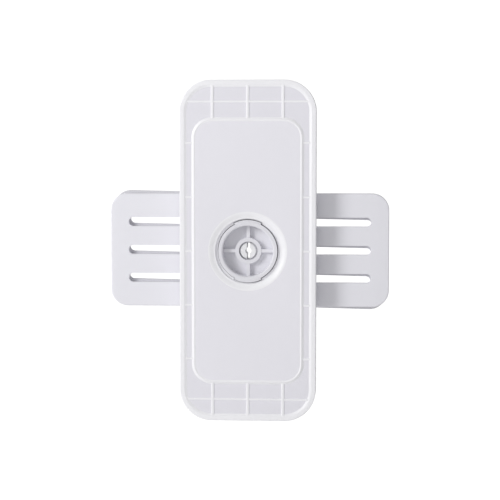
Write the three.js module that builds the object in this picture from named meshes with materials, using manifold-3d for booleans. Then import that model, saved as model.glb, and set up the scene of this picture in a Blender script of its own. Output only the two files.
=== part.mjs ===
// Stair gate latch: a long face plate that swivels on a hub, on a slotted plate strapped to a post.
//
// Millimetres. The latch stands upright as it does on a post: +X to the right, +Z up, the post at +Y and the gate at -Y.
// The origin is the middle of the whole latch, on the swivel axis, which is Y. Every piece is drawn flat, with x across,
// y up and its depth rising from the post towards the gate, and one turn at the end stands the whole latch upright.
import * as THREE from "three";
import { mergeVertices } from "three/addons/utils/BufferGeometryUtils.js";
import Module from "manifold-3d";

const wasm = await Module();
wasm.setup();

// ---- driving dimensions ----

const QUARTER_TURN = Math.PI / 2;
const FULL_TURN = 2 * Math.PI;
const TOP = QUARTER_TURN; // the 12 o'clock direction of a flat drawing
const TOTAL_DEPTH = 15.6;
const GAP = 0.1; // between flat pieces that rest on each other
const FIT = 0.3; // round a piece that sits in a hole of another
const BITE = 0.3; // how far joined solids reach into each other
const THROUGH = 1; // how far a cut runs past the material

// The soft pad against the post, and the slotted plate in front of it, with the same outline and slots.
const WING = { width: 124, height: 50.4, corner: 7.5 };
const SLOT = { inner: 18, outer: 54, height: 4.0, pitch: 12.5, rows: 3 };
const PAD = { thickness: 2.7, shorter: 1.2, hole: 7.6, turned: -1.3 }; // turned in degrees, clockwise from the gate side
const PLATE = { thickness: 3.0, hole: 3.6, counterbore: 6.5, counterboreDepth: 1.4 };
const KEY = { offset: 9.5, radius: 1.5, length: 2.0 };

// The hub cup, keyed to the slotted plate. Its lugs hold the face plate.
const CUP = { radius: 13.0, wall: 1.9, floor: 3.3, front: 7.1 };
const FLANGE = { radius: 17.5, thickness: 2.0 };
const LUG = { radius: 13.75, halfAngle: 26, back: 6.1, front: 6.9 }; // halfAngle in degrees
const HUB = { outer: 5.8, recess: 4.1, bore: 3.5, shoulder: 1.8, front: 3.7 };
const SPOKE = { width: 1.5, front: 3.5 };

// The snap pin, split down its middle so that its two heads can close as they pass the bore.
const PIN = { shaft: 3.25, head: 3.7, tip: 3.2, headBack: 2.0, headEdge: 2.5, front: 3.4, centre: 1.35 };
const PIN_FLANGE = { radius: 6.2, thickness: 1.2 };
const SLIT = { width: 1.3, length: 7.6 };

// The face plate, from its back edge to its rim.
const FACE = { width: 60, height: 150, corner: 14, back: 0.4, front: 7.65 };
const RIM = 2.5;
const PANEL = { width: 48.6, height: 116.5, corner: 8.5 };
const BEAD = { width: 1.2, height: 0.15 };
const CHANNEL_FLOOR = 7.25;
const RIB = { width: 1.3, front: 7.55, columns: [-15.5, 0, 15.5] };
const LOW_RIB = { width: 0.9, front: 7.45, endRow: 65.5, rows: [-47.5, -23.75, 0, 23.75, 47.5] };
const HOLLOW = { skirt: 2.5, web: 2.2 };
const BACK_RIB = { width: 1.4, back: 1.2, columns: [-11, 11], rows: [-50, -32, 32, 50] };
const COLLAR = { outer: 17.0, bore: 13.3, recess: 14.4, lip: 5.9, slopeDepth: 0.7, slope: 17.4 };
const NOTCH = { radius: 14.0, halfAngle: 27 }; // halfAngle in degrees

// ---- depths that follow from them ----

const padBack = -TOTAL_DEPTH / 2;
const padFront = padBack + PAD.thickness;
const plateBack = padFront + GAP;
const plateFront = plateBack + PLATE.thickness;
const cupBack = plateFront + GAP;
const cupFloor = cupBack + CUP.floor;
const flangeFront = cupBack + FLANGE.thickness;
const pinBack = plateBack + PLATE.counterboreDepth - GAP - PIN_FLANGE.thickness;

// ---- materials ----

function plastic(colour, roughness) {
  return new THREE.MeshStandardMaterial({ color: colour, roughness, metalness: 0 });
}

const FACE_PLASTIC = plastic(0xe6e6ea, 0.4);
const PLATE_PLASTIC = plastic(0xe4e4e8, 0.45);
const HUB_PLASTIC = plastic(0xe2e2e6, 0.38);
const PIN_PLASTIC = plastic(0xececee, 0.35);
const SOFT_PAD = plastic(0xdcdce0, 0.8);

// ---- flat shapes ----

function roundedRectangle(width, height, corner) {
  const x = width / 2 - corner;
  const y = height / 2 - corner;
  const shape = new THREE.Shape();
  shape.absarc(x, y, corner, 0, QUARTER_TURN);
  shape.absarc(-x, y, corner, QUARTER_TURN, 2 * QUARTER_TURN);
  shape.absarc(-x, -y, corner, 2 * QUARTER_TURN, 3 * QUARTER_TURN);
  shape.absarc(x, -y, corner, 3 * QUARTER_TURN, FULL_TURN);
  return shape;
}

function circle(radius, x = 0, y = 0) {
  const shape = new THREE.Shape();
  shape.absarc(x, y, radius, 0, FULL_TURN);
  return shape;
}

function slot(from, to, middle, height) {
  const r = height / 2;
  const shape = new THREE.Shape();
  shape.absarc(to - r, middle, r, -QUARTER_TURN, QUARTER_TURN);
  shape.absarc(from + r, middle, r, QUARTER_TURN, 3 * QUARTER_TURN);
  return shape;
}

// A piece of a ring, as wide as two half angles in degrees, round a direction in radians.
function ringSector(inner, outer, direction, halfAngle) {
  const half = THREE.MathUtils.degToRad(halfAngle);
  const shape = new THREE.Shape();
  shape.absarc(0, 0, outer, direction - half, direction + half);
  shape.absarc(0, 0, inner, direction + half, direction - half, true);
  return shape;
}

// ---- solids ----

function solid(geometry) {
  const bare = geometry.index ? geometry.toNonIndexed() : geometry.clone();
  bare.deleteAttribute("normal");
  bare.deleteAttribute("uv");
  const merged = mergeVertices(bare, 1e-4);
  return new wasm.Manifold(
    new wasm.Mesh({
      numProp: 3,
      vertProperties: merged.attributes.position.array,
      triVerts: new Uint32Array(merged.index.array),
    }),
  );
}

// A flat shape made solid between two depths.
function slab(shape, back, front, curveSegments = 10) {
  const geometry = new THREE.ExtrudeGeometry(shape, { depth: front - back, bevelEnabled: false, curveSegments });
  return solid(geometry.translate(0, 0, back));
}

function disc(radius, back, front, segments = 32, x = 0, y = 0) {
  return slab(circle(radius, x, y), back, front, segments);
}

function bar(x0, x1, y0, y1, back, front) {
  const geometry = new THREE.BoxGeometry(x1 - x0, y1 - y0, front - back);
  return solid(geometry.translate((x0 + x1) / 2, (y0 + y1) / 2, (back + front) / 2));
}

// A closed profile of [radius, depth] points turned round the swivel axis.
function turned(profile, segments = 64) {
  const points = [...profile, profile[0]].map(([radius, depth]) => new THREE.Vector2(radius, -depth));
  return solid(new THREE.LatheGeometry(points.reverse(), segments).rotateX(-QUARTER_TURN));
}

function join(...pieces) {
  return pieces.reduce((whole, piece) => whole.add(piece));
}

function cut(from, ...tools) {
  return tools.reduce((rest, tool) => rest.subtract(tool), from);
}

function named(name, manifold, material) {
  const { vertProperties, triVerts, numProp } = manifold.getMesh();
  const positions = new Float32Array((vertProperties.length / numProp) * 3);
  for (let i = 0; i < positions.length / 3; i++) {
    positions.set(vertProperties.subarray(i * numProp, i * numProp + 3), i * 3);
  }
  const geometry = new THREE.BufferGeometry();
  geometry.setAttribute("position", new THREE.BufferAttribute(positions, 3));
  geometry.setIndex(new THREE.BufferAttribute(new Uint32Array(triVerts), 1));
  geometry.computeVertexNormals();
  const mesh = new THREE.Mesh(geometry, material);
  mesh.name = name;
  return mesh;
}

// ---- the slotted plate and its pad ----

// The outline shared by the two, with three strap slots in each wing. The pad's is a little shorter.
function slottedWing(width, back, front) {
  const cutters = [];
  for (const [from, to] of [[SLOT.inner, SLOT.outer], [-SLOT.outer, -SLOT.inner]]) {
    for (let row = 0; row < SLOT.rows; row++) {
      const middle = (row - (SLOT.rows - 1) / 2) * SLOT.pitch;
      cutters.push(slab(slot(from, to, middle, SLOT.height), back - THROUGH, front + THROUGH, 12));
    }
  }
  return cut(slab(roundedRectangle(width, WING.height, WING.corner), back, front, 14), ...cutters);
}

function keyPlaces() {
  return [-KEY.offset, KEY.offset];
}

function gripPad() {
  const whole = slottedWing(WING.width - PAD.shorter, padBack, padFront);
  const pad = cut(whole, disc(PAD.hole, padBack - THROUGH, padFront + THROUGH));
  return named("grip_pad", pad.rotate([0, 0, PAD.turned]), SOFT_PAD);
}

function slottedPlate() {
  const pinHole = disc(PLATE.hole, plateBack - THROUGH, plateFront + THROUGH);
  const counterbore = disc(PLATE.counterbore, plateBack - THROUGH, plateBack + PLATE.counterboreDepth);
  const keyHoles = keyPlaces().map((x) =>
    disc(KEY.radius + FIT, plateFront - KEY.length - FIT, plateFront + THROUGH, 12, x),
  );
  const plate = cut(slottedWing(WING.width, plateBack, plateFront), pinHole, counterbore, ...keyHoles);
  return named("slotted_plate", plate, PLATE_PLASTIC);
}

// ---- the hub cup ----

function hubCup() {
  const inner = CUP.radius - CUP.wall;
  const shell = turned([
    [HUB.bore, cupBack],
    [FLANGE.radius, cupBack],
    [FLANGE.radius, flangeFront],
    [CUP.radius, flangeFront],
    [CUP.radius, CUP.front],
    [inner, CUP.front],
    [inner, cupFloor],
    [HUB.outer, cupFloor],
    [HUB.outer, HUB.front],
    [HUB.recess, HUB.front],
    [HUB.recess, HUB.shoulder],
    [HUB.bore, HUB.shoulder],
  ]);
  const lugs = [TOP, -TOP].map((direction) =>
    slab(ringSector(inner + BITE, LUG.radius, direction, LUG.halfAngle), LUG.back, LUG.front, 20),
  );
  const half = SPOKE.width / 2;
  const near = HUB.outer - BITE;
  const far = inner + BITE;
  const spokes = [
    [near, far, -half, half],
    [-far, -near, -half, half],
    [-half, half, near, far],
    [-half, half, -far, -near],
  ].map(([x0, x1, y0, y1]) => bar(x0, x1, y0, y1, cupFloor - BITE, SPOKE.front));
  const keys = keyPlaces().map((x) => disc(KEY.radius, cupBack - KEY.length, cupBack + BITE, 12, x));
  return named("hub_cup", join(shell, ...lugs, ...spokes, ...keys), HUB_PLASTIC);
}

// ---- the snap pin ----

function snapPin() {
  const body = turned([
    [PIN.centre, pinBack],
    [PIN_FLANGE.radius, pinBack],
    [PIN_FLANGE.radius, pinBack + PIN_FLANGE.thickness],
    [PIN.shaft, pinBack + PIN_FLANGE.thickness],
    [PIN.shaft, PIN.headBack],
    [PIN.head, PIN.headBack],
    [PIN.head, PIN.headEdge],
    [PIN.tip, PIN.front],
    [PIN.centre, PIN.front],
  ], 48);
  const half = SLIT.length / 2;
  const slit = bar(-SLIT.width / 2, SLIT.width / 2, -half, half, pinBack - THROUGH, PIN.front + THROUGH);
  return named("snap_pin", cut(body, slit), PIN_PLASTIC);
}

// ---- the face plate ----

function grownRectangle({ width, height, corner }, grow) {
  return roundedRectangle(width + 2 * grow, height + 2 * grow, corner + grow);
}

// The front: a rim, a channel crossed by ribs, and a raised panel with a bead along its edge.
function faceFront() {
  const insideRim = grownRectangle(FACE, -RIM);
  const bed = CHANNEL_FLOOR - BITE;
  const rimBlock = slab(grownRectangle(FACE, 0), bed, FACE.front, 14);
  const rim = cut(rimBlock, slab(insideRim, bed - THROUGH, FACE.front + THROUGH));
  const panel = slab(grownRectangle(PANEL, 0), bed, FACE.front);
  const bead = cut(
    slab(grownRectangle(PANEL, 0), FACE.front - BITE, FACE.front + BEAD.height),
    slab(grownRectangle(PANEL, -BEAD.width), FACE.front - THROUGH, FACE.front + THROUGH),
  );
  const reachUp = FACE.height / 2 - RIM / 2;
  const reachAcross = FACE.width / 2 - RIM / 2;
  const tall = RIB.columns.map((x) =>
    bar(x - RIB.width / 2, x + RIB.width / 2, -reachUp, reachUp, bed, RIB.front),
  );
  const low = [-LOW_RIB.endRow, ...LOW_RIB.rows, LOW_RIB.endRow].map((y) =>
    bar(-reachAcross, reachAcross, y - LOW_RIB.width / 2, y + LOW_RIB.width / 2, bed, LOW_RIB.front),
  );
  return join(rim, panel, bead, ...tall, ...low);
}

// The back: a skirt round a shallow hollow, with ribs across it.
function faceBack() {
  const outside = slab(grownRectangle(FACE, 0), FACE.back, CHANNEL_FLOOR, 14);
  const shallow = slab(grownRectangle(FACE, -HOLLOW.skirt), FACE.back - THROUGH, CHANNEL_FLOOR - HOLLOW.web);
  const ribFront = CHANNEL_FLOOR - BITE;
  const reachUp = FACE.height / 2 - HOLLOW.skirt / 2;
  const reachAcross = FACE.width / 2 - HOLLOW.skirt / 2;
  const half = BACK_RIB.width / 2;
  const columns = BACK_RIB.columns.map((x) => bar(x - half, x + half, -reachUp, reachUp, BACK_RIB.back, ribFront));
  const rows = BACK_RIB.rows.map((y) => bar(-reachAcross, reachAcross, y - half, y + half, BACK_RIB.back, ribFront));
  return join(cut(outside, shallow), ...columns, ...rows);
}

// The swivel bore: a lip for the lugs to sit on, with two notches that let them through, and a soft slope round it.
function swivelBore() {
  const slopeEnd = FACE.front - COLLAR.slopeDepth;
  const well = turned([
    [0, FACE.back - THROUGH],
    [COLLAR.bore, FACE.back - THROUGH],
    [COLLAR.bore, COLLAR.lip],
    [COLLAR.recess, COLLAR.lip],
    [COLLAR.recess, slopeEnd],
    [COLLAR.slope, FACE.front],
    [COLLAR.slope, FACE.front + THROUGH],
    [0, FACE.front + THROUGH],
  ]);
  const notches = [TOP, -TOP].map((direction) => {
    const shape = ringSector(CUP.radius, NOTCH.radius, direction, NOTCH.halfAngle);
    return slab(shape, FACE.back - THROUGH, COLLAR.lip + THROUGH, 20);
  });
  return join(well, ...notches);
}

function facePlate() {
  const collar = disc(COLLAR.outer, FACE.back, FACE.front - BITE);
  const plate = join(faceBack(), faceFront(), collar);
  return named("face_plate", cut(plate, swivelBore()), FACE_PLASTIC);
}

// ---- the latch ----

const postSide = new THREE.Group();
postSide.add(gripPad(), slottedPlate(), hubCup(), snapPin());

const gateSide = new THREE.Group();
gateSide.add(facePlate());

const latch = new THREE.Group();
latch.add(postSide, gateSide);
latch.rotation.x = QUARTER_TURN;

export default latch;
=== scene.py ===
import math
import bmesh
import bpy
from mathutils import Matrix, Vector


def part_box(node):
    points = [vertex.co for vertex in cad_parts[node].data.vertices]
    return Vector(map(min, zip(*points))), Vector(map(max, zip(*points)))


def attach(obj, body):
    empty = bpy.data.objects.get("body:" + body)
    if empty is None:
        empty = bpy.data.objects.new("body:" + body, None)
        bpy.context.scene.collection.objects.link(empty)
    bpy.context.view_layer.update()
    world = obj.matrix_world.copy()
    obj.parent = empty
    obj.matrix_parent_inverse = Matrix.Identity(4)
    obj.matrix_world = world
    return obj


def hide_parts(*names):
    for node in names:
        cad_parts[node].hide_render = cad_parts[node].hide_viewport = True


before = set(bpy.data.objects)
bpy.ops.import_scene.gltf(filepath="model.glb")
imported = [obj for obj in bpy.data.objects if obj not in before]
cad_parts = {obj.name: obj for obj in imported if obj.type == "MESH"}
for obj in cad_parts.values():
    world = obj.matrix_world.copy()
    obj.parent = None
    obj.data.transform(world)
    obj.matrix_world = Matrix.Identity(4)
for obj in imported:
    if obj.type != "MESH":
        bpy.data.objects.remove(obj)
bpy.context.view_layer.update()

# Camera. It stands in front of the gate side, a little to the right and a little above, with a long
# lens, and looks just past the middle of the face plate.
CAMERA_AZIMUTH = math.radians(4.2)
CAMERA_ELEVATION = math.radians(3.8)
CAMERA_DISTANCE = 0.6735
CAMERA_LENS = 110
CAMERA_AIM = Vector((0.0008, 0, 0.0004))

camera = bpy.data.objects.new("camera", bpy.data.cameras.new("camera"))
bpy.context.scene.collection.objects.link(camera)
camera.data.lens = CAMERA_LENS
towards_camera = Vector((
    math.sin(CAMERA_AZIMUTH) * math.cos(CAMERA_ELEVATION),
    -math.cos(CAMERA_AZIMUTH) * math.cos(CAMERA_ELEVATION),
    math.sin(CAMERA_ELEVATION),
))
latch_low, latch_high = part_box("face_plate")
looked_at = (latch_low + latch_high) / 2 + CAMERA_AIM
camera.location = looked_at + towards_camera * CAMERA_DISTANCE
camera.rotation_euler = (-towards_camera).to_track_quat("-Z", "Y").to_euler()
bpy.context.scene.camera = camera


# Grip pad. A soft white elastomer pad that lies between the slotted plate and the post, moulded with
# the same outline and strap slots. Only the straps through its slots hold it, so it sits a little askew.
# Each piece is drawn flat in millimetres, with its depth rising towards the gate, and then stood up.
MM = 0.001
PAD_BACK, PAD_FRONT = -7.8, -5.1
PAD_TURN = math.radians(1.3)
PAD_HOLE = 7.6
WING_WIDTH, WING_HEIGHT, WING_CORNER = 124.0, 50.4, 7.5
PAD_SHORTER = 1.2
SLOT_INNER, SLOT_OUTER, SLOT_HEIGHT, SLOT_PITCH = 18.0, 54.0, 4.0, 12.5
PAD_ROUNDING, PAD_EDGE = 0.5, 0.35
PAD_COLOUR = (0.72, 0.715, 0.755)
CUT_PAST = 1.0
WELD = 0.002
SLOT_FLAT = 0.001
EDGE_LIMIT, EDGE_STEPS = math.radians(14), 3
UPRIGHT = Matrix.Rotation(math.radians(90), 4, "X")
FLOW_SCALE, PATCH_SCALE, GRAIN_SCALE = 22.0, 140.0, 2600.0
FLOW_SHADE, FLOW_BUMP = 0.985, 0.4
ROUGHNESS_SPREAD = 0.1
GRAIN_DEPTH = 0.00004
PLASTIC_IOR = 1.49
GLOW_WEIGHT, GLOW_DEPTH = 0.15, 0.0012


def outline(bm, width, height, corner, depth, segments=18):
    """A flat rounded rectangle in a bmesh, as one face at that depth."""
    made = bmesh.ops.create_grid(bm, x_segments=1, y_segments=1, size=0.5)
    verts = made["verts"]
    bmesh.ops.scale(bm, vec=(width, height, 1), verts=verts)
    bmesh.ops.translate(bm, vec=(0, 0, depth), verts=verts)
    bmesh.ops.bevel(bm, geom=verts, offset=corner, segments=segments, profile=0.5,
                    affect="VERTICES", material=-1)
    return max(bm.faces, key=lambda face: face.calc_area())


def raised(bm, face, height):
    """Extrudes a face along the depth, and returns the moved face."""
    out = bmesh.ops.extrude_face_region(bm, geom=[face])["geom"]
    moved = [part for part in out if isinstance(part, bmesh.types.BMVert)]
    bmesh.ops.translate(bm, vec=(0, 0, height), verts=moved)
    if face.is_valid:
        face.normal_flip()
    return next(part for part in out if isinstance(part, bmesh.types.BMFace))


def closed(bm):
    """Turns every face of a closed bmesh outwards."""
    bmesh.ops.recalc_face_normals(bm, faces=bm.faces)
    return bm


def rounded_slab(width, height, corner, back, front, rounding=0.0, segments=18):
    """A flat block with round corners, and a rounding along its front edge."""
    bm = bmesh.new()
    top = raised(bm, outline(bm, width, height, corner, back, segments), front - back)
    closed(bm)
    if rounding:
        bmesh.ops.bevel(bm, geom=list(top.edges), offset=rounding, segments=8, profile=0.5,
                        affect="EDGES", material=-1)
    return bm


def disc(radius, back, front, x=0.0, segments=96):
    """A round block whose axis runs through the depth."""
    bm = bmesh.new()
    middle = Matrix.Translation((x, 0, (back + front) / 2))
    bmesh.ops.create_cone(bm, cap_ends=True, segments=segments, radius1=radius, radius2=radius,
                          depth=front - back, matrix=middle)
    return bm


def bar(x0, x1, y0, y1, back, front):
    """A square-edged block between two corners."""
    bm = bmesh.new()
    middle = Matrix.Translation(((x0 + x1) / 2, (y0 + y1) / 2, (back + front) / 2))
    size = Matrix.Diagonal((x1 - x0, y1 - y0, front - back, 1))
    bmesh.ops.create_cube(bm, size=1, matrix=middle @ size)
    return bm


def combined(base, tools, operation):
    """The base bmesh joined with, or cut by, each tool. The tools are used up."""
    for tool in tools:
        holders = []
        for bm in (base, tool):
            mesh = bpy.data.meshes.new("work")
            bm.to_mesh(mesh)
            bm.free()
            holder = bpy.data.objects.new("work", mesh)
            bpy.context.scene.collection.objects.link(holder)
            holders.append(holder)
        modifier = holders[0].modifiers.new("boolean", "BOOLEAN")
        modifier.operation = operation
        modifier.solver = "EXACT"
        modifier.object = holders[1]
        done = holders[0].evaluated_get(bpy.context.evaluated_depsgraph_get())
        base = bmesh.new()
        base.from_mesh(done.to_mesh())
        for holder in holders:
            bpy.data.meshes.remove(holder.data)
        bmesh.ops.remove_doubles(base, verts=base.verts, dist=WELD)
    return base


def finished(bm, name, edge_radius, turn=0.0):
    """Stands a flat piece upright in metres and gives it soft moulded edges."""
    bm.transform(UPRIGHT @ Matrix.Rotation(-turn, 4, "Z") @ Matrix.Scale(MM, 4))
    mesh = bpy.data.meshes.new(name)
    bm.to_mesh(mesh)
    bm.free()
    mesh.shade_smooth()
    piece = bpy.data.objects.new(name, mesh)
    bpy.context.scene.collection.objects.link(piece)
    bevel = piece.modifiers.new("soft_edges", "BEVEL")
    bevel.width = edge_radius * MM
    bevel.segments = EDGE_STEPS
    bevel.limit_method = "ANGLE"
    bevel.angle_limit = EDGE_LIMIT
    bevel.harden_normals = True
    return piece


def strap_slots(back, front):
    """Cutters for the three round-ended strap slots of each wing."""
    cutters = []
    length = SLOT_OUTER - SLOT_INNER
    for side in (-1, 1):
        for row in (-1, 0, 1):
            cutter = rounded_slab(length, SLOT_HEIGHT, SLOT_HEIGHT / 2 - SLOT_FLAT,
                                  back - CUT_PAST, front + CUT_PAST, segments=12)
            middle = side * (SLOT_INNER + SLOT_OUTER) / 2
            bmesh.ops.translate(cutter, vec=(middle, row * SLOT_PITCH, 0), verts=cutter.verts)
            cutters.append(cutter)
    return cutters


class Wire:
    """One output of a shader node, which the ordinary operators join into Math nodes."""

    def __init__(self, tree, socket):
        self.tree = tree
        self.socket = socket

    def node(self, kind, settings=None, inputs=None, output=0):
        made = self.tree.nodes.new(kind)
        for name, value in (settings or {}).items():
            setattr(made, name, value)
        for name, value in (inputs or {}).items():
            if isinstance(value, Wire):
                self.tree.links.new(value.socket, made.inputs[name])
            else:
                made.inputs[name].default_value = value
        return Wire(self.tree, made.outputs[output])

    def maths(self, operation, first, second):
        return self.node("ShaderNodeMath", {"operation": operation}, {0: first, 1: second})

    def __add__(self, other):
        return self.maths("ADD", self, other)

    __radd__ = __add__

    def __mul__(self, other):
        return self.maths("MULTIPLY", self, other)

    __rmul__ = __mul__

    def __rsub__(self, other):
        return self.maths("SUBTRACT", other, self)


def moulded_plastic(name, colour, roughness, grain, coat=0.0):
    """White moulded plastic, with faint flow shading, a roughness that wanders and a fine mould grain."""
    material = bpy.data.materials.new(name)
    material.use_nodes = True
    tree = material.node_tree
    shader = tree.nodes["Principled BSDF"]
    start = Wire(tree, None)
    place = start.node("ShaderNodeTexCoord", output="Object")
    flow = start.node("ShaderNodeTexNoise", None, {"Vector": place, "Scale": FLOW_SCALE, "Detail": 2.0})
    patches = start.node("ShaderNodeTexNoise", None, {"Vector": place, "Scale": PATCH_SCALE, "Detail": 3.0})
    fine = start.node("ShaderNodeTexNoise", None, {"Vector": place, "Scale": GRAIN_SCALE, "Detail": 2.0})
    darker = tuple(value * FLOW_SHADE for value in colour)
    shade = start.node("ShaderNodeMix", {"data_type": "RGBA"},
                       {0: flow, 6: (*darker, 1), 7: (*colour, 1)}, output=2)
    tree.links.new(shade.socket, shader.inputs["Base Color"])
    wandering = roughness - ROUGHNESS_SPREAD / 2 + patches * ROUGHNESS_SPREAD
    tree.links.new(wandering.socket, shader.inputs["Roughness"])
    bump = start.node("ShaderNodeBump", None, {
        "Height": fine + flow * FLOW_BUMP, "Strength": grain, "Distance": GRAIN_DEPTH,
    })
    tree.links.new(bump.socket, shader.inputs["Normal"])
    shader.inputs["IOR"].default_value = PLASTIC_IOR
    shader.inputs["Subsurface Weight"].default_value = GLOW_WEIGHT
    shader.inputs["Subsurface Scale"].default_value = GLOW_DEPTH
    shader.inputs["Subsurface Radius"].default_value = (1.0, 1.0, 1.0)
    shader.inputs["Coat Weight"].default_value = coat
    return material


sheet = rounded_slab(WING_WIDTH - PAD_SHORTER, WING_HEIGHT, WING_CORNER, PAD_BACK, PAD_FRONT, PAD_ROUNDING)
cutters = strap_slots(PAD_BACK, PAD_FRONT)
cutters.append(disc(PAD_HOLE, PAD_BACK - CUT_PAST, PAD_FRONT + CUT_PAST))
pad = finished(combined(sheet, cutters, "DIFFERENCE"), "soft_grip_pad", PAD_EDGE, PAD_TURN)
pad.data.materials.append(moulded_plastic("pad_elastomer", PAD_COLOUR, roughness=0.72, grain=0.7))
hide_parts("grip_pad")
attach(pad, "post_bracket")

# Slotted plate. One flat injection moulding in white plastic. Straps go through its wings and round the
# post, and the pin comes up through the hole in its middle from a counterbore behind.
PLATE_BACK, PLATE_FRONT = -5.0, -2.0
PLATE_ROUNDING, PLATE_EDGE = 0.6, 0.3
PLATE_HOLE, COUNTERBORE, COUNTERBORE_DEPTH = 3.6, 6.5, 1.4
PEG_OFFSET, PEG_HOLE, PEG_HOLE_DEPTH, PEG_SIDES = 9.5, 1.8, 2.3, 32
PLATE_COLOUR = (0.85, 0.845, 0.895)

cutters = strap_slots(PLATE_BACK, PLATE_FRONT)
cutters.append(disc(PLATE_HOLE, PLATE_BACK - CUT_PAST, PLATE_FRONT + CUT_PAST))
cutters.append(disc(COUNTERBORE, PLATE_BACK - CUT_PAST, PLATE_BACK + COUNTERBORE_DEPTH))
for side in (-1, 1):
    cutters.append(disc(PEG_HOLE, PLATE_FRONT - PEG_HOLE_DEPTH, PLATE_FRONT + CUT_PAST,
                        side * PEG_OFFSET, PEG_SIDES))
sheet = rounded_slab(WING_WIDTH, WING_HEIGHT, WING_CORNER, PLATE_BACK, PLATE_FRONT, PLATE_ROUNDING)
plate = finished(combined(sheet, cutters, "DIFFERENCE"), "strap_plate", PLATE_EDGE)
plate.data.materials.append(moulded_plastic("plate_plastic", PLATE_COLOUR, roughness=0.45, grain=0.25))
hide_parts("slotted_plate")
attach(plate, "post_bracket")

# Hub cup. A round white moulding keyed to the slotted plate by two pegs. The face plate turns round its
# wall, between its flange and two lugs that stand over the lip of the face plate's bore.
CUP_BACK, CUP_FLOOR, CUP_FRONT = -1.9, 1.4, 7.1
CUP_RADIUS, CUP_INNER, CUP_ROUNDING, MOUTH_STEPS = 13.0, 11.1, 0.7, 9
FLANGE_RADIUS, FLANGE_FRONT = 17.5, 0.1
HUB_OUTER, HUB_RECESS, HUB_BORE, HUB_SHOULDER, HUB_FRONT = 5.8, 4.1, 3.5, 1.8, 3.7
SPOKE_WIDTH, SPOKE_FRONT = 1.5, 3.5
LUG_RADIUS, LUG_HALF_ANGLE, LUG_BACK, LUG_FRONT = 13.75, math.radians(26), 6.1, 6.9
PEG_RADIUS, PEG_LENGTH = 1.5, 2.0
BITE = 0.3
SEAM_WELD = 0.0001
TOP, BOTTOM = math.pi / 2, -math.pi / 2
HUB_EDGE = 0.22
HUB_COLOUR = (0.81, 0.805, 0.85)


def turned(profile, steps=112):
    """A closed profile of (radius, depth) points spun once round the swivel axis."""
    bm = bmesh.new()
    verts = [bm.verts.new((radius, 0, depth)) for radius, depth in profile]
    edges = [bm.edges.new((verts[i - 1], verts[i])) for i in range(len(verts))]
    bmesh.ops.spin(bm, geom=verts + edges, cent=(0, 0, 0), axis=(0, 0, 1), angle=math.tau,
                   steps=steps, use_merge=True)
    bmesh.ops.remove_doubles(bm, verts=bm.verts, dist=SEAM_WELD)
    return closed(bm)


def ring_sector(inner, outer, direction, half_angle, back, front, steps=20):
    """A block that follows a ring, spun from one flat end to the other."""
    bm = bmesh.new()
    corners = [(inner, back), (outer, back), (outer, front), (inner, front)]
    face = bm.faces.new([bm.verts.new((radius, 0, depth)) for radius, depth in corners])
    bmesh.ops.rotate(bm, matrix=Matrix.Rotation(direction - half_angle, 3, "Z"), verts=bm.verts)
    bmesh.ops.spin(bm, geom=[face, *face.edges, *face.verts], cent=(0, 0, 0), axis=(0, 0, 1),
                   angle=2 * half_angle, steps=steps)
    return closed(bm)


mouth = []
for step in range(MOUTH_STEPS + 1):
    angle = math.radians(90 * step / MOUTH_STEPS)
    inwards, backwards = 1 - math.sin(angle), 1 - math.cos(angle)
    mouth.append((CUP_INNER + CUP_ROUNDING * inwards, CUP_FRONT - CUP_ROUNDING * backwards))
cup = turned([
    (HUB_BORE, CUP_BACK), (FLANGE_RADIUS, CUP_BACK), (FLANGE_RADIUS, FLANGE_FRONT),
    (CUP_RADIUS, FLANGE_FRONT), (CUP_RADIUS, CUP_FRONT), *mouth,
    (CUP_INNER, CUP_FLOOR), (HUB_OUTER, CUP_FLOOR), (HUB_OUTER, HUB_FRONT),
    (HUB_RECESS, HUB_FRONT), (HUB_RECESS, HUB_SHOULDER), (HUB_BORE, HUB_SHOULDER),
])
near, far, half = HUB_OUTER - BITE, CUP_INNER + BITE, SPOKE_WIDTH / 2
reaches = [(near, far), (-far, -near)]
additions = [bar(low, high, -half, half, CUP_FLOOR - BITE, SPOKE_FRONT) for low, high in reaches]
additions += [bar(-half, half, low, high, CUP_FLOOR - BITE, SPOKE_FRONT) for low, high in reaches]
additions += [ring_sector(CUP_INNER + BITE, LUG_RADIUS, direction, LUG_HALF_ANGLE, LUG_BACK, LUG_FRONT)
              for direction in (TOP, BOTTOM)]
additions += [disc(PEG_RADIUS, CUP_BACK - PEG_LENGTH, CUP_BACK + BITE, side * PEG_OFFSET, PEG_SIDES)
              for side in (-1, 1)]
hub = finished(combined(cup, additions, "UNION"), "spoked_hub", HUB_EDGE)
hub.data.materials.append(moulded_plastic("hub_plastic", HUB_COLOUR, roughness=0.38, grain=0.15, coat=0.1))
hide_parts("hub_cup")
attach(hub, "post_bracket")

# Snap pin. A hollow white nylon pin with a flange behind, slit down its middle. Its two heads close as
# they pass the bore of the hub, and spring out over the shoulder.
PIN_BACK, PIN_FLANGE_FRONT = -4.9, -3.7
PIN_FLANGE_RADIUS, PIN_SHAFT, PIN_HEAD, PIN_TIP, PIN_CENTRE = 6.2, 3.25, 3.7, 3.2, 1.35
PIN_HEAD_BACK, PIN_HEAD_EDGE, PIN_FRONT = 2.0, 2.5, 3.4
PIN_STEPS, PIN_EDGE = 64, 0.12
SLIT_WIDTH, SLIT_LENGTH = 1.3, 7.6
PIN_COLOUR = (0.88, 0.88, 0.90)

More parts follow.
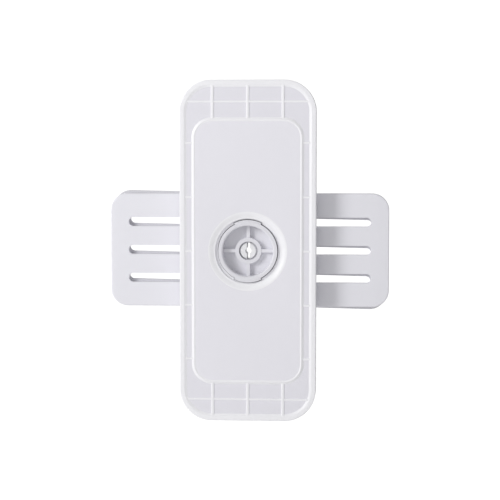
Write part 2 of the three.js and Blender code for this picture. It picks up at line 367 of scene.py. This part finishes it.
shank = turned([
    (PIN_CENTRE, PIN_BACK), (PIN_FLANGE_RADIUS, PIN_BACK), (PIN_FLANGE_RADIUS, PIN_FLANGE_FRONT),
    (PIN_SHAFT, PIN_FLANGE_FRONT), (PIN_SHAFT, PIN_HEAD_BACK), (PIN_HEAD, PIN_HEAD_BACK),
    (PIN_HEAD, PIN_HEAD_EDGE), (PIN_TIP, PIN_FRONT), (PIN_CENTRE, PIN_FRONT),
], PIN_STEPS)
slit = bar(-SLIT_WIDTH / 2, SLIT_WIDTH / 2, -SLIT_LENGTH / 2, SLIT_LENGTH / 2,
           PIN_BACK - CUT_PAST, PIN_FRONT + CUT_PAST)
pin = finished(combined(shank, [slit], "DIFFERENCE"), "split_pin", PIN_EDGE)
pin.data.materials.append(moulded_plastic("pin_nylon", PIN_COLOUR, roughness=0.34, grain=0.12, coat=0.1))
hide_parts("snap_pin")
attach(pin, "post_bracket")

# Face plate. A long white injection moulding that turns on the hub: a rim, a channel crossed by ribs, and a
# raised panel with a fine bead along its edge. It is hollow behind, with ribs of its own.
FACE_WIDTH, FACE_HEIGHT, FACE_CORNER = 60.0, 150.0, 14.0
FACE_BACK, FACE_FRONT, FACE_ROUNDING, FACE_EDGE = 0.4, 7.65, 0.4, 0.16
RIM, CHANNEL_FLOOR, SIDE_SLOPE = 2.5, 7.25, 1.1
SKIRT, WEB, HOLLOW_DRAFT = 2.5, 2.2, 0.2
PANEL_WIDTH, PANEL_HEIGHT, PANEL_CORNER = 48.6, 116.5, 8.5
PANEL_SUNK, PANEL_LEDGE = 0.05, 0.02
BEAD_TOP, BEAD_SLOPE, BEAD_HEIGHT = 0.2, 0.5, 0.15
RIB_WIDTH, RIB_FRONT, RIB_COLUMNS = 1.3, 7.55, (-15.5, 0.0, 15.5)
LOW_RIB_WIDTH, LOW_RIB_FRONT = 0.9, 7.45
RIB_ROUNDING, LOW_RIB_ROUNDING = 0.28, 0.18
LOW_RIB_ROWS = (-65.5, -47.5, -23.75, 0.0, 23.75, 47.5, 65.5)
BACK_RIB_WIDTH, BACK_RIB_BACK = 1.4, 1.2
BACK_RIB_COLUMNS, BACK_RIB_ROWS = (-11.0, 11.0), (-50.0, -32.0, 32.0, 50.0)
COLLAR_OUTER, BORE, RECESS, LIP = 17.0, 13.3, 14.4, 5.9
SLOPE_RADIUS, SLOPE_DEPTH, SLOPE_STEPS = 17.4, 0.7, 10
NOTCH_RADIUS, NOTCH_HALF_ANGLE = 14.0, math.radians(27)
CORE_RADIUS, AXIS_HOLE = 1.0, 0.01
SQUARE_ON, SAME_DEPTH = 0.99, 0.01
# RAISED_HIGHLIGHT_COLOUR is lighter than the panel's own tone to paint on the highlight that the rim, ribs
# and bead catch; the plastic itself is the same.
RAISED_HIGHLIGHT_COLOUR = (0.965, 0.96, 0.995)
PANEL_COLOUR = (0.88, 0.87, 0.925)
# CHANNEL_SHADE_COLOUR is darker than the panel to paint the shade that gathers in the sunk channel; its
# coarser grain is real.
CHANNEL_SHADE_COLOUR = (0.845, 0.835, 0.89)


def sunk(bm, forward, wall, slope, depth):
    """Leaves a wall round the largest flat face that looks that way, and moves the rest in or out."""
    square_on = [face for face in bm.faces if face.normal.z * forward > SQUARE_ON]
    flat = max(square_on, key=lambda face: face.calc_area())
    bmesh.ops.inset_region(bm, faces=[flat], thickness=wall, use_even_offset=True)
    bmesh.ops.inset_region(bm, faces=[flat], thickness=slope, depth=depth * forward, use_even_offset=True)


def ridge(x0, x1, y0, y1, back, front, rounding):
    """A bar whose front edges are rounded over."""
    bm = bar(x0, x1, y0, y1, back, front)
    edges = [edge for edge in bm.edges if min(vert.co.z for vert in edge.verts) > (back + front) / 2]
    bmesh.ops.bevel(bm, geom=edges, offset=rounding, segments=5, profile=0.5, affect="EDGES", material=-1)
    return bm


tray = rounded_slab(FACE_WIDTH, FACE_HEIGHT, FACE_CORNER, FACE_BACK, FACE_FRONT, FACE_ROUNDING, 24)
sunk(tray, 1, RIM - FACE_ROUNDING - SIDE_SLOPE / 2, SIDE_SLOPE, CHANNEL_FLOOR - FACE_FRONT)
sunk(tray, -1, SKIRT, HOLLOW_DRAFT, CHANNEL_FLOOR - WEB - FACE_BACK)

panel_foot = CHANNEL_FLOOR - PANEL_SUNK
panel = rounded_slab(PANEL_WIDTH + SIDE_SLOPE, PANEL_HEIGHT + SIDE_SLOPE, PANEL_CORNER + SIDE_SLOPE / 2,
                     CHANNEL_FLOOR - BITE, panel_foot)
sunk(panel, 1, PANEL_LEDGE, SIDE_SLOPE, FACE_FRONT + BEAD_HEIGHT - panel_foot)
sunk(panel, 1, BEAD_TOP, BEAD_SLOPE, -BEAD_HEIGHT)

inner_x, inner_y = FACE_WIDTH / 2 - RIM / 2, FACE_HEIGHT / 2 - RIM / 2
bed = CHANNEL_FLOOR - BITE
additions = [panel, disc(COLLAR_OUTER, FACE_BACK, FACE_FRONT - BITE)]
additions += [ridge(x - RIB_WIDTH / 2, x + RIB_WIDTH / 2, -inner_y, inner_y, bed, RIB_FRONT, RIB_ROUNDING)
              for x in RIB_COLUMNS]
additions += [ridge(-inner_x, inner_x, y - LOW_RIB_WIDTH / 2, y + LOW_RIB_WIDTH / 2, bed, LOW_RIB_FRONT,
                    LOW_RIB_ROUNDING) for y in LOW_RIB_ROWS]
thin = BACK_RIB_WIDTH / 2
additions += [bar(x - thin, x + thin, -inner_y, inner_y, BACK_RIB_BACK, bed) for x in BACK_RIB_COLUMNS]
additions += [bar(-inner_x, inner_x, y - thin, y + thin, BACK_RIB_BACK, bed) for y in BACK_RIB_ROWS]
body = combined(tray, additions, "UNION")

slope = []
for i in range(SLOPE_STEPS + 1):
    share = i / SLOPE_STEPS
    radius = RECESS + (SLOPE_RADIUS - RECESS) * share
    slope.append((radius, FACE_FRONT - SLOPE_DEPTH * (1 + math.cos(math.pi * share)) / 2))
cut_back, cut_front = FACE_BACK - CUT_PAST, FACE_FRONT + CUT_PAST
well = turned([
    (AXIS_HOLE, cut_back), (BORE, cut_back), (BORE, LIP), (RECESS, LIP),
    *slope, (SLOPE_RADIUS, cut_front), (AXIS_HOLE, cut_front),
])
notches = [ring_sector(CUP_RADIUS, NOTCH_RADIUS, direction, NOTCH_HALF_ANGLE, cut_back, LIP + BITE)
           for direction in (TOP, BOTTOM)]
core = disc(CORE_RADIUS, cut_back - CUT_PAST, cut_front + CUT_PAST)
body = combined(body, [core, well, *notches], "DIFFERENCE")
face = finished(body, "swivel_face", FACE_EDGE)
POLISHED_AND_HIGHLIT, GRAINED, COARSE_AND_SHADED = 0, 1, 2
for plastic in (
    # This copy of the plastic is painted lighter as a highlight on the rim, ribs, bead and sides; its lower
    # roughness and coat are real.
    moulded_plastic("face_plastic_polished_and_highlight", RAISED_HIGHLIGHT_COLOUR, roughness=0.34, grain=0.1, coat=0.1),
    moulded_plastic("face_plastic_grained", PANEL_COLOUR, roughness=0.46, grain=0.3),
    # This copy is painted darker as shade on the channel floor; its coarser grain is a real bump.
    moulded_plastic("face_plastic_coarse_and_shade", CHANNEL_SHADE_COLOUR, roughness=0.5, grain=0.5),
):
    face.data.materials.append(plastic)
# Faces are sorted by depth: the channel floor gets the painted shade, the panel front keeps its own tone,
# and all the rest gets the painted highlight.
for polygon in face.data.polygons:
    corners = [face.data.vertices[i].co / MM for i in polygon.vertices]
    in_channel = all(abs(-corner.y - CHANNEL_FLOOR) < SAME_DEPTH for corner in corners)
    at_front = all(abs(-corner.y - FACE_FRONT) < SAME_DEPTH for corner in corners)
    in_outline = all(abs(corner.x) < PANEL_WIDTH / 2 and abs(corner.z) < PANEL_HEIGHT / 2
                     for corner in corners)
    if at_front and in_outline:
        polygon.material_index = GRAINED
    elif in_channel:
        polygon.material_index = COARSE_AND_SHADED
    else:
        polygon.material_index = POLISHED_AND_HIGHLIT
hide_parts("face_plate")
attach(face, "face")

# Floor and light. A round pale floor well below the latch, which hangs from its post, a broad soft key
# from the left, a fill behind that shows the post side, and a white room that is dimmer towards its ceiling.
FLOOR_DROP, FLOOR_RADIUS, FLOOR_SIDES = 0.34, 0.8, 96
FLOOR_COLOUR = (0.93, 0.93, 0.93)
KEY_POWER, KEY_SIZE, KEY_DISTANCE = 7.3, 0.46, 1.2
KEY_AZIMUTH, KEY_ELEVATION = math.radians(-47.5), math.radians(18)
FILL_POWER, FILL_SIZE, FILL_DISTANCE = 3.2, 0.6, 1.2
FILL_AZIMUTH, FILL_ELEVATION = math.radians(205), math.radians(4)
ROOM_LIGHT, ROOM_FALLOFF, ROOM_SEEN = 0.605, 0.6, 1.1

bm = bmesh.new()
bmesh.ops.create_circle(bm, cap_ends=True, segments=FLOOR_SIDES, radius=FLOOR_RADIUS,
                        matrix=Matrix.Translation((0, 0, -FLOOR_DROP)))
floor_mesh = bpy.data.meshes.new("floor")
bm.to_mesh(floor_mesh)
bm.free()
floor = bpy.data.objects.new("floor", floor_mesh)
bpy.context.scene.collection.objects.link(floor)
floor.data.materials.append(moulded_plastic("pale_floor", FLOOR_COLOUR, roughness=0.8, grain=0.0))


def soft_light(name, power, size, distance, azimuth, elevation):
    """A round area light that faces the latch."""
    light = bpy.data.objects.new(name, bpy.data.lights.new(name, "AREA"))
    bpy.context.scene.collection.objects.link(light)
    light.data.shape = "DISK"
    light.data.size = size
    light.data.energy = power
    towards = Vector((
        math.sin(azimuth) * math.cos(elevation),
        -math.cos(azimuth) * math.cos(elevation),
        math.sin(elevation),
    ))
    light.location = towards * distance
    light.rotation_euler = towards.to_track_quat("Z", "Y").to_euler()


soft_light("key", KEY_POWER, KEY_SIZE, KEY_DISTANCE, KEY_AZIMUTH, KEY_ELEVATION)
soft_light("fill", FILL_POWER, FILL_SIZE, FILL_DISTANCE, FILL_AZIMUTH, FILL_ELEVATION)

world = bpy.data.worlds.new("room")
bpy.context.scene.world = world
world.use_nodes = True
room = Wire(world.node_tree, None)
seen = room.node("ShaderNodeLightPath", output="Is Camera Ray")
direction = room.node("ShaderNodeTexCoord", output="Generated")
height = room.node("ShaderNodeSeparateXYZ", None, {0: direction}, output="Z")
glow = ROOM_LIGHT - height * (ROOM_LIGHT * ROOM_FALLOFF)
strength = seen * (ROOM_SEEN - glow) + glow
world.node_tree.links.new(strength.socket, world.node_tree.nodes["Background"].inputs["Strength"])
world.node_tree.nodes["Background"].inputs["Color"].default_value = (1, 1, 1, 1)
bpy.context.scene.view_settings.view_transform = "Standard"
